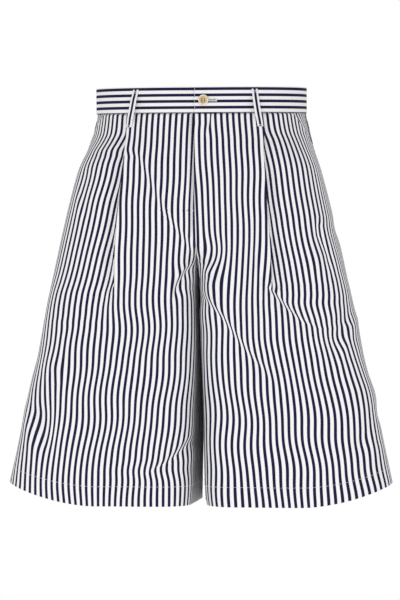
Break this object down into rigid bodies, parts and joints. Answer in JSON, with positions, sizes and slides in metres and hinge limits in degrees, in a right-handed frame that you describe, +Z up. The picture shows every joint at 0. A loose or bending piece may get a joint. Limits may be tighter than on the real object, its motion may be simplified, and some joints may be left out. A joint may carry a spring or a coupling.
{
  "type": "bermuda shorts",
  "caption": "Knee-length pleated shorts in woven striped cotton with a buttoned waistband, belt loops and scooped hip pockets, held open as when worn.",
  "frame": {"origin": "centre of the waist, at mid-height of the waistband, where a wearer holds the shorts up", "axes": "+Z up along the body, -Y the way the shorts face, +X the wearer's left side"},
  "size_m": [0.57, 0.2503, 0.6283],
  "materials": {
    "poplin": "matt cotton poplin, white with navy stripes 9 mm apart",
    "thread": "matt cotton sewing thread",
    "button": "polished horn colour with darker streaks"
  },
  "bodies": {
    "root": {"front_left": "poplin", "front_right": "poplin", "back_left": "poplin", "back_right": "poplin", "pocket_facing_left": "poplin", "pocket_facing_right": "poplin", "waistband_left": "poplin", "waistband_right": "poplin", "belt_loop_front_left": "poplin", "belt_loop_front_right": "poplin", "belt_loop_back_left": "poplin", "belt_loop_back_right": "poplin", "belt_loop_back_center": "poplin", "button": "button"}
  },
  "joints": []
}
